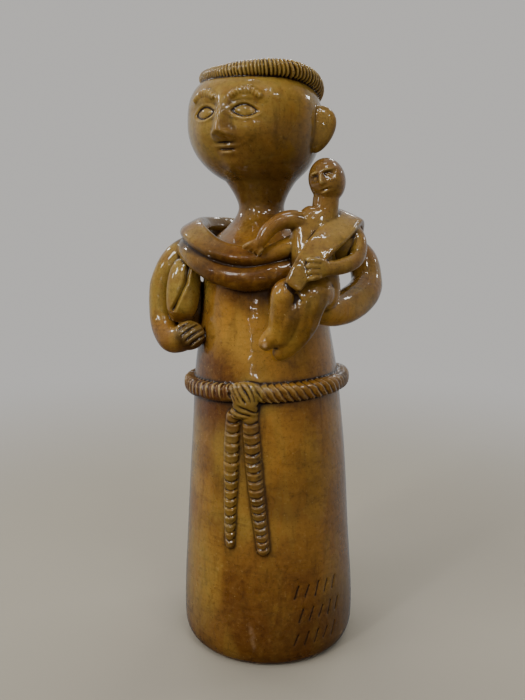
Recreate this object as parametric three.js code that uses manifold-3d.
// A glazed folk figure of a friar with a child on one arm, modelled in clay by hand and fired as one piece.
// Millimetres, +Z up. The friar faces -Y. The origin lies on the underside, near its middle.
// Left and right are the viewer's: +X is to the right of someone who faces the figure.
import * as THREE from "three";
import { mergeVertices } from "three/addons/utils/BufferGeometryUtils.js";
import Module from "manifold-3d";

const wasm = await Module();
wasm.setup();

// Driving dimensions
const HEIGHT = 350;
const FOOT_RADIUS = 49.6;
const SKIRT_RADIUS = 54.4;
const WAIST_HEIGHT = 164.5;
const WAIST_RADIUS = 45.6;
const NECK_HEIGHT = 271;
const NECK_RADIUS = 13.8;
const HEAD_RADIUS = 40;
const FOOT_OFFSET = 1; // middle of the foot, to the right of the origin
const LEAN = -6.5; // the tube leans this far to the left between foot and neck

// The robe and neck are thrown as one tube: height and radius of each ring, foot to nape
const ROBE = [
  [0, FOOT_RADIUS],
  [4, FOOT_RADIUS + 3],
  [14, SKIRT_RADIUS],
  [44, SKIRT_RADIUS - 0.8],
  [102, SKIRT_RADIUS - 4.4],
  [WAIST_HEIGHT, WAIST_RADIUS],
  [206, WAIST_RADIUS - 6.3],
  [232, WAIST_RADIUS - 7.6],
  [240, WAIST_RADIUS - 5.6],
  [248, NECK_RADIUS + 22],
  [255.5, NECK_RADIUS + 13],
  [260, NECK_RADIUS + 7],
  [265, NECK_RADIUS + 2.6],
  [NECK_HEIGHT, NECK_RADIUS],
  [280, NECK_RADIUS + 3],
  [294, NECK_RADIUS + 14.4],
];
const ROBE_SIDES = 27;

// Head: a bulb, flattened on top, that turns to the left and looks a little upwards
const HEAD_CENTRE = [-10, -1, 319];
const CROWN_RISE = 29;
const JAW_DROP = 37;
const JAW_SHIFT = 4; // the bulb's foot runs this far right, on to the neck
const HEAD_TURN = THREE.MathUtils.degToRad(-26);
const FACE_LIFT = 7; // the upward look raises the middle of the face by this much

// Face, on common proportions: eyes at half the head's height, each a fifth of its width
const EYE_SPAN = 13;
const EYE_LEVEL = -4;
const BROW_LEVEL = 2.5;
const NOSE_LEVEL = -17.5;
const MOUTH_LEVEL = -24;
const CHIN_LEVEL = -33;

// Hair ring and rope belt are notched coils; the ring rises to the front right and drops at the right
const HAIR_RING = { x: -6.1, radius: 32.5, half: 4.4, drop: 3.1, lift: 3.2, warp: 2.6 };
const HAIR_NOTCHES = { notches: 29, cut: 0.2, slant: -0.8 };
const BELT = {
  radius: 46.9,
  halfOut: 4.8,
  halfUp: 5.2,
  lift: 1.3,
  rise: 2.2,
  notches: 32,
  cut: 0.2,
  slant: 3,
};
const CORD_CUT = 0.22;

// Cowl: two thick bands that dip at the front; each row is front, side, back
const COWL_TURN = THREE.MathUtils.degToRad(-12);
const UPPER_BAND = {
  radius: [40.8, 42.9, 39.6],
  height: [242.2, 259.1, 257.6],
  slope: [45, 28, 48],
  halfLong: [6.6, 9.2, 8],
  halfThick: [5.6, 5.6, 5.6],
};
const LOWER_BAND = {
  radius: [41.4, 44.4, 41.4],
  height: [230.4, 247.4, 247.2],
  slope: [82, 70, 82],
  halfLong: [7.4, 7.2, 7],
  halfThick: [7.4, 8.8, 7.2],
};

const add = (a, b) => a.map((v, i) => v + b[i]);
const mix = (a, b, t) => a + (b - a) * t;

// A solid from rings of points, each ring as long as the next.
// Closed rings join the last to the first; open ones end in a fan round each end's middle.
function skin(rings, closed = false) {
  const sides = rings[0].length;
  const points = rings.flat();
  const triangles = [];
  const rows = closed ? rings.length : rings.length - 1;
  for (let i = 0; i < rows; i++) {
    for (let j = 0; j < sides; j++) {
      const a = i * sides + j;
      const b = i * sides + ((j + 1) % sides);
      const c = ((i + 1) % rings.length) * sides + j;
      const d = ((i + 1) % rings.length) * sides + ((j + 1) % sides);
      triangles.push([a, b, d], [a, d, c]);
    }
  }
  if (!closed) {
    const last = (rings.length - 1) * sides;
    const ends = [rings[0], rings[rings.length - 1]].map((ring) =>
      ring.reduce(add).map((v) => v / sides),
    );
    points.push(...ends);
    for (let j = 0; j < sides; j++) {
      const k = (j + 1) % sides;
      triangles.push([points.length - 2, k, j], [points.length - 1, last + j, last + k]);
    }
  }
  return solid(points, triangles);
}

// A solid from points and triangles, turned outwards if they face in.
function solid(points, triangles) {
  const at = (i) => new THREE.Vector3(...points[i]);
  const volume = triangles.reduce(
    (sum, [a, b, c]) => sum + at(a).dot(at(b).cross(at(c))),
    0,
  );
  const facing = volume < 0 ? triangles.map(([a, b, c]) => [a, c, b]) : triangles;
  return new wasm.Manifold(
    new wasm.Mesh({
      numProp: 3,
      vertProperties: new Float32Array(points.flat()),
      triVerts: new Uint32Array(facing.flat()),
    }),
  );
}

// An ellipsoid of half-sizes [x, y, z], turned by Euler angles in degrees.
function ball(centre, half, turn = [0, 0, 0], sides = 8, rows = 6) {
  const geometry = new THREE.SphereGeometry(1, sides, rows);
  geometry.deleteAttribute("normal");
  geometry.deleteAttribute("uv");
  geometry.rotateX(Math.PI / 2);
  geometry.scale(...half);
  const [x, y, z] = turn.map(THREE.MathUtils.degToRad);
  geometry.applyMatrix4(new THREE.Matrix4().makeRotationFromEuler(new THREE.Euler(x, y, z)));
  geometry.translate(...centre);
  const { index, attributes } = mergeVertices(geometry, 1e-3);
  const { position } = attributes;
  const points = Array.from({ length: position.count }, (_, i) =>
    new THREE.Vector3().fromBufferAttribute(position, i).toArray(),
  );
  const triangles = Array.from({ length: index.count / 3 }, (_, i) =>
    [0, 1, 2].map((k) => index.getX(3 * i + k)),
  );
  return solid(points, triangles);
}

// A rolled coil along rows of [x, y, z, half width, half thickness], with round or blunt ends.
// The thickness points along facing, which may turn from one end to the other.
function coil(rows, options = {}) {
  const { sides = 8, steps = 8, facing = [[0, -1, 0]], notches = 0, cut = 0 } = options;
  const curve = (points) => new THREE.CatmullRomCurve3(points, false, "catmullrom", 0.5);
  const path = curve(rows.map(([x, y, z]) => new THREE.Vector3(x, y, z)));
  const girth = curve(rows.map(([, , , a, b]) => new THREE.Vector3(a, b, 0)));
  const length = path.getLength();
  const from = new THREE.Vector3(...facing[0]);
  const to = new THREE.Vector3(...facing[facing.length - 1]);
  const capAngle = THREE.MathUtils.degToRad(40);
  const cap = (row) => (options.blunt ? 0 : Math.min(0.45, Math.min(row[3], row[4]) / length));
  const first = cap(rows[0]);
  const last = cap(rows[rows.length - 1]);
  const inner = notches ? 2 * notches : steps;
  const stations = [];
  for (let i = 0; i <= inner; i++) {
    stations.push([mix(first, 1 - last, i / inner), i % 2 && notches ? 1 - cut : 1]);
  }
  if (!options.blunt) {
    const inset = 1 - Math.cos(capAngle);
    stations.unshift([first * inset, Math.sin(capAngle)]);
    stations.push([1 - last * inset, Math.sin(capAngle)]);
  }
  return skin(
    stations.map(([u, share]) => {
      const t = path.getUtoTmapping(u);
      const middle = path.getPoint(t);
      const size = girth.getPoint(t);
      const along = path.getTangent(t);
      const out = from.clone().lerp(to, u);
      out.addScaledVector(along, -out.dot(along)).normalize();
      const across = along.clone().cross(out);
      return Array.from({ length: sides }, (_, j) => {
        const angle = (2 * Math.PI * (j + 0.5)) / sides;
        return middle
          .clone()
          .addScaledVector(across, share * size.x * Math.cos(angle))
          .addScaledVector(out, share * size.y * Math.sin(angle))
          .toArray();
      });
    }),
  );
}

// A closed hoop round the upright axis. at(angle) gives its radius, height, slope below level and half-sizes;
// angle 0 is the front and grows towards +X. Notches lean by slant millimetres over the coil's height.
function hoop(at, { sides = 8, steps = 32, notches = 0, cut = 0, slant = 0, centre = [0, 0] }) {
  const count = notches ? 2 * notches : steps;
  return skin(
    Array.from({ length: count }, (_, i) => {
      const share = i % 2 && notches ? 1 - cut : 1;
      return Array.from({ length: sides }, (_, j) => {
        const round = (2 * Math.PI * (j + 0.5)) / sides;
        const angle = (2 * Math.PI * i) / count;
        const { radius, height, slope, halfLong, halfThick } = at(angle);
        const turned = angle - (slant * Math.sin(round)) / radius;
        const long = share * halfLong * Math.cos(round);
        const thick = share * halfThick * Math.sin(round);
        const r = radius + long * Math.cos(slope) + thick * Math.sin(slope);
        const z = height - long * Math.sin(slope) + thick * Math.cos(slope);
        return [centre[0] + r * Math.sin(turned), centre[1] - r * Math.cos(turned), z];
      });
    }),
    true,
  );
}

// Sideways place of the tube's middle at a height.
const leanAt = (z) => FOOT_OFFSET + LEAN * (z / NECK_HEIGHT) ** 2;

// Radius of the robe at a height, straight between its rings.
function robeRadius(z) {
  const i = ROBE.findIndex(([top]) => top >= z);
  const [lowZ, lowR] = ROBE[Math.max(0, i - 1)];
  const [highZ, highR] = ROBE[i];
  return highZ === lowZ ? highR : mix(lowR, highR, (z - lowZ) / (highZ - lowZ));
}

function robe() {
  return skin(
    ROBE.map(([z, r]) =>
      Array.from({ length: ROBE_SIDES }, (_, j) => {
        const angle = (2 * Math.PI * j) / ROBE_SIDES;
        return [leanAt(z) + r * Math.cos(angle), r * Math.sin(angle), z];
      }),
    ),
  );
}

// A point on the robe's front at x and height z, raised by lift.
function onRobe(x, z, lift) {
  const r = robeRadius(z) + lift;
  const dx = x - leanAt(z);
  return [x, -Math.sqrt(r * r - dx * dx), z];
}

function belt() {
  const { notches, cut, slant } = BELT;
  const rope = hoop(
    (angle) => ({
      radius: BELT.radius,
      height: WAIST_HEIGHT + BELT.lift + BELT.rise * Math.sin(angle),
      slope: 0,
      halfLong: BELT.halfOut,
      halfThick: BELT.halfUp,
    }),
    { sides: 5, notches, cut, slant, centre: [leanAt(WAIST_HEIGHT), 0] },
  );
  const knot = coil(
    [
      [...onRobe(-13.6, WAIST_HEIGHT + 7.6, 3), 9, 4.4],
      [...onRobe(-13.8, WAIST_HEIGHT - 1, 4.2), 8.4, 5],
      [...onRobe(-14.6, WAIST_HEIGHT - 14, 1.5), 8.2, 3.8],
    ],
    { sides: 6, notches: 3, cut: 0.14, blunt: true },
  );
  const cords = [
    { x: [-20.6, -22, -22.5], width: [4.4, 4.1, 2.7], bottom: 73, notches: 10 },
    { x: [-11.3, -7.6, -2.2], width: [4.7, 4.7, 3.7], bottom: 71, notches: 11 },
  ].map(({ x, width, bottom, notches: grips }) => {
    const top = WAIST_HEIGHT - 6;
    return coil(
      [top, (top + bottom) / 2, bottom].map((z, i) => [...onRobe(x[i], z, 0.8), width[i], 3.6]),
      { sides: 5, notches: grips, cut: CORD_CUT },
    );
  });
  return [rope, knot, ...cords];
}

// A band's front, side and back values, blended smoothly round the shoulders.
function roundShoulders([front, side, back], angle) {
  const ahead = Math.cos(angle);
  return side + ((ahead > 0 ? front : back) - side) * ahead * ahead;
}

function cowlBand({ radius, height, slope, halfLong, halfThick }) {
  return hoop(
    (angle) => {
      const faced = angle - COWL_TURN;
      return {
        radius: roundShoulders(radius, faced),
        height: roundShoulders(height, faced),
        slope: THREE.MathUtils.degToRad(roundShoulders(slope, faced)),
        halfLong: roundShoulders(halfLong, faced),
        halfThick: roundShoulders(halfThick, faced),
      };
    },
    { sides: 7, steps: 20, centre: [leanAt(UPPER_BAND.height[0]), 0] },
  );
}

function cowl() {
  const foldUnderChild = coil(
    [
      [-13, -40, 242, 4, 4.5],
      [0, -41.5, 244.6, 5.2, 6],
      [13, -41, 249.2, 6.6, 7.2],
      [27, -36, 253, 7.5, 7.5],
    ],
    { sides: 7, steps: 3, blunt: true },
  );
  return [foldUnderChild, cowlBand(UPPER_BAND), cowlBand(LOWER_BAND)];
}

// Radius of the head's bulb at a height above its centre.
function headRadius(rise) {
  const [reach, power] = rise > 0 ? [CROWN_RISE, 3] : [JAW_DROP, 2.1];
  return HEAD_RADIUS * Math.max(0, 1 - Math.abs(rise / reach) ** power) ** (1 / power);
}

// How far right the bulb's middle lies at a height below its centre.
const jawShift = (rise) => JAW_SHIFT * (Math.min(rise, 0) / JAW_DROP) ** 2;

// A point on the face: across and up in millimetres from its middle, and out from the surface.
function onFace(across, up, out) {
  const angle = HEAD_TURN + across / HEAD_RADIUS;
  const rise = up + FACE_LIFT * Math.cos(across / HEAD_RADIUS);
  const r = headRadius(rise) + out;
  return add(HEAD_CENTRE, [jawShift(rise) + r * Math.sin(angle), -r * Math.cos(angle), rise]);
}

function bulb() {
  const rows = 10;
  const sides = 22;
  return skin(
    Array.from({ length: rows - 1 }, (_, i) => {
      const polar = (Math.PI * (i + 1)) / rows;
      const rise = Math.cos(polar) * (polar < Math.PI / 2 ? CROWN_RISE : JAW_DROP);
      const r = headRadius(rise);
      const shift = jawShift(rise);
      return Array.from({ length: sides }, (_, j) => {
        const angle = (2 * Math.PI * j) / sides;
        return [shift + r * Math.cos(angle), r * Math.sin(angle), rise];
      }).map((point) => add(HEAD_CENTRE, point));
    }),
  );
}

function face() {
  const ahead = [Math.sin(HEAD_TURN), -Math.cos(HEAD_TURN), 0];
  const nose = coil(
    [
      [...onFace(0, BROW_LEVEL, -2), 3, 3.5],
      [...onFace(0, (BROW_LEVEL + NOSE_LEVEL) / 2, 1.5), 3.6, 4.5],
      [...onFace(0, NOSE_LEVEL + 1, 3), 6.6, 5.4],
    ],
    { sides: 7, steps: 3, facing: [ahead] },
  );
  const lips = [
    [MOUTH_LEVEL + 1.3, 1.9, 0.4],
    [MOUTH_LEVEL - 1.9, 2.1, 0.2],
  ].map(([level, half, out]) =>
    coil(
      [-9, 0, 9].map((across) => [
        ...onFace(across, level, across ? -0.6 : out),
        across ? half * 0.55 : half,
        2.2,
      ]),
      { sides: 6, steps: 2, facing: [ahead] },
    ),
  );
  const chin = ball(onFace(0, CHIN_LEVEL, -4), [9.5, 8, 7.5], [0, 0, 0], 8, 6);
  const sides = [-1, 1].flatMap((side) => {
    const look = HEAD_TURN + (side * EYE_SPAN) / HEAD_RADIUS;
    const out = [Math.sin(look), -Math.cos(look), 0];
    const brow = coil(
      [0.4, 0.85, 1.35, 1.8].map((share, i) => [
        ...onFace(side * share * EYE_SPAN, BROW_LEVEL + [0.5, 3, 3.2, 0.5][i], 0.2),
        2.3,
        2.4,
      ]),
      { sides: 5, notches: 4, cut: 0.2, blunt: true, facing: [out] },
    );
    const eye = coil(
      [-0.5, 0, 0.5].map((share) => [
        ...onFace(side * EYE_SPAN + share * EYE_SPAN, EYE_LEVEL, share ? -1 : -0.9),
        share ? 1 : 3.1,
        2.2,
      ]),
      { sides: 6, steps: 2, facing: [out] },
    );
    const earTurn = HEAD_TURN + (side > 0 ? 1.6 : -1.85);
    const ear = ball(
      add(HEAD_CENTRE, [
        HEAD_RADIUS * Math.sin(earTurn),
        -HEAD_RADIUS * Math.cos(earTurn),
        -4,
      ]),
      [10, 4.4, 13.2],
      [0, 10 * side, THREE.MathUtils.radToDeg(earTurn) + (side > 0 ? -66 : 246)],
      8,
      6,
    );
    return [brow, eye, ear];
  });
  return [nose, ...lips, chin, ...sides];
}

function hair() {
  const { x, radius, half, drop, lift, warp } = HAIR_RING;
  const rise = (angle) => lift * Math.cos(angle) - drop * Math.sin(angle) + warp * Math.sin(2 * angle);
  const highest = Math.max(...Array.from({ length: 360 }, (_, i) => rise(THREE.MathUtils.degToRad(i))));
  return hoop(
    (angle) => ({
      radius,
      height: HEIGHT - half - highest + rise(angle),
      slope: 0,
      halfLong: half,
      halfThick: half,
    }),
    { sides: 5, ...HAIR_NOTCHES, centre: [x, HEAD_CENTRE[1]] },
  );
}

// Four fingers side by side, as ridges along a short coil that crosses them.
const fingers = (rows, facing) => coil(rows, { sides: 5, notches: 4, cut: 0.25, facing: [facing] });

// The left arm hangs from the cowl, bends under and holds a long split roll against itself.
function leftArm() {
  const arm = coil(
    [
      [-38, 3, 246, 8, 8],
      [-50, 1, 245.5, 8.3, 8.3],
      [-60, 0, 238, 8, 8],
      [-66.3, 0, 225, 7.6, 7.6],
      [-67.3, -1, 209, 7.6, 7.6],
      [-65, -5, 198, 7.8, 7.8],
      [-59.5, -12, 192, 8, 8],
      [-51, -18, 193.5, 7.8, 7.4],
      [-44, -21, 196.5, 6.8, 6],
    ],
    { sides: 8, steps: 10, blunt: true, facing: [[0, -1, 0], [-0.3, -1, 0]] },
  );
  const sleeve = ball([-52, 1, 211], [14, 6, 21], [0, 0, 0], 7, 5);
  const roll = ball([-52.4, -11.5, 221], [10.6, 8.8, 20.4], [0, 6, 0], 10, 7);
  const split = coil(
    [
      [-49, -15.5, 238, 1.6, 3],
      [-50, -20.2, 226, 2, 3],
      [-54.4, -20.4, 217, 2, 3],
      [-57, -17, 210, 1.6, 3],
    ],
    { sides: 4, steps: 4, blunt: true },
  );
  const hand = fingers(
    [
      [-51.5, -22.5, 203, 6.6, 3.6],
      [-47.4, -24, 196.5, 8.8, 4.6],
      [-43.6, -24, 189.5, 6.4, 3.6],
    ],
    [0, -1, 0],
  );
  return [arm, sleeve, roll.subtract(split), hand];
}

// The right arm loops out and forward to carry the child.
function rightArm() {
  return coil(
    [
      [36, 2, 246, 8.5, 8.5],
      [48, 1, 247, 8.8, 8.8],
      [56.5, -1, 240, 9.2, 9.2],
      [58.8, -7, 228.5, 9.4, 9.4],
      [55.8, -14, 221.2, 10, 10],
      [49, -22, 216.4, 10.3, 10.3],
      [40, -32, 212.6, 9.4, 9.4],
      [31, -41, 213, 8.4, 8.4],
      [24, -47, 216, 7, 7],
    ],
    { sides: 8, steps: 11, blunt: true, facing: [[1, -1, 0], [1, -1, -0.5]] },
  );
}

function child() {
  const head = ball([30.8, -38, 284.8], [10.3, 10.5, 12.5], [-8, -14, -24], 10, 7);
  const nose = ball([25.8, -47.5, 283], [1.8, 2.2, 3], [-15, 0, -24], 6, 5);
  const torso = coil(
    [
      [26.5, -46, 212, 12, 9.5],
      [25.5, -47, 226, 13, 9.5],
      [23.5, -47, 239, 12, 9],
      [22.5, -44, 253, 12.2, 8],
      [25, -42, 261, 11.4, 7.2],
      [29.6, -40, 267.5, 7.8, 6.6],
      [30.5, -39, 281, 7.2, 6.6],
    ],
    { sides: 8, steps: 6, blunt: true },
  );
  const back = ball([33, -38, 247], [9, 7, 14], [0, 0, 0], 6, 4);
  const side = ball([40.5, -43.5, 250], [7, 5.6, 9.8], [0, 0, 0], 6, 4);
  const sash = coil(
    [
      [46, -22, 257, 8.4, 2.8],
      [45, -29, 263.5, 8.8, 2.8],
      [42, -38, 264.5, 8.8, 2.8],
      [34.8, -49.5, 256.5, 8.5, 2.8],
      [25.5, -58, 247.5, 7.8, 2.8],
      [17.5, -63, 237, 6.6, 2.8],
      [10.8, -65, 226.5, 5, 2.6],
    ],
    { sides: 6, steps: 8, facing: [[0.5, 0.2, 1], [-0.1, -1, 0.45]] },
  );
  const farArm = coil(
    [
      [24, -42, 259, 5.5, 5.5],
      [12, -45, 263, 5.5, 5.5],
      [3.8, -47, 261, 4.8, 4.8],
      [-2.5, -48.5, 256, 4, 4],
      [-5.5, -49, 251, 3.4, 3.4],
      [-9, -47, 247.5, 3.6, 2.4],
    ],
    { sides: 6, steps: 6, blunt: true },
  );
  const farHand = fingers(
    [
      [-13.6, -45.5, 249.6, 3.4, 1.8],
      [-10.5, -47.6, 247, 4.8, 2.4],
      [-6.2, -49, 245.4, 3.6, 1.8],
    ],
    [-0.2, -1, 0.3],
  );
  const nearArm = coil(
    [
      [41, -38, 258, 5, 5],
      [46.4, -40, 255.5, 5, 5],
      [48.3, -45, 248, 4.8, 4.8],
      [45.5, -51.5, 241.5, 4.4, 4.4],
      [38, -57.5, 238.3, 4.3, 4.3],
      [30, -61.5, 237.2, 4.3, 3.8],
      [25, -63.5, 237.2, 4.8, 3],
    ],
    { sides: 6, steps: 7, blunt: true, facing: [[1, -0.4, 0], [0, -1, 0.2]] },
  );
  const nearHand = fingers(
    [
      [22.6, -65, 243.6, 4, 2],
      [22.2, -65.6, 237.4, 5.6, 2.6],
      [22.6, -65.2, 231.2, 4, 2],
    ],
    [0, -1, 0],
  );
  const farLeg = coil(
    [
      [19, -48, 222, 8, 8],
      [8, -58.5, 224.5, 7.4, 7.8],
      [6, -58.5, 214, 7, 7.2],
      [4.4, -56, 204, 6.2, 6.4],
      [-1.5, -55.5, 197, 5, 4.8],
      [-6, -55.5, 194, 3.4, 3.2],
    ],
    { sides: 7, steps: 5 },
  );
  const nearLeg = coil(
    [
      [31, -46, 227, 10.5, 9.5],
      [22, -56.5, 221, 9.8, 8.8],
      [16.5, -56, 208, 9.8, 7.8],
      [11, -53, 197, 8, 7.2],
      [5.5, -53, 191, 5.8, 5.2],
      [1.5, -53.5, 189.5, 4, 3.6],
    ],
    { sides: 8, steps: 5 },
  );
  const lap = coil(
    [
      [13, -57, 220, 6, 7],
      [10.4, -58.2, 211, 7, 7.4],
      [6.8, -55.5, 201, 6.4, 6.8],
    ],
    { sides: 6, steps: 3 },
  );
  return [
    head,
    nose,
    torso,
    back,
    side,
    sash,
    farArm,
    farHand,
    nearArm,
    nearHand,
    farLeg,
    nearLeg,
    lap,
  ];
}

// Every part is luted to its neighbours, so the fired figure is one solid, without pockets between them.
function figure() {
  const parts = [
    robe(),
    ...belt(),
    ...cowl(),
    bulb(),
    ...face(),
    hair(),
    ...leftArm(),
    rightArm(),
    ...child(),
  ];
  const joined = parts.reduce((whole, part) => whole.add(part));
  const [clay] = joined.decompose().sort((a, b) => b.volume() - a.volume());
  const mesh = clay.getMesh();
  const geometry = new THREE.BufferGeometry();
  geometry.setAttribute("position", new THREE.BufferAttribute(mesh.vertProperties, mesh.numProp));
  geometry.setIndex(new THREE.BufferAttribute(mesh.triVerts, 1));
  geometry.computeVertexNormals();
  return geometry;
}

const honeyGlaze = new THREE.MeshStandardMaterial({
  color: 0xa8782c,
  roughness: 0.14,
  metalness: 0,
});

const group = new THREE.Group();
const friar = new THREE.Mesh(figure(), honeyGlaze);
friar.name = "friar_with_child";
group.add(friar);

export default group;
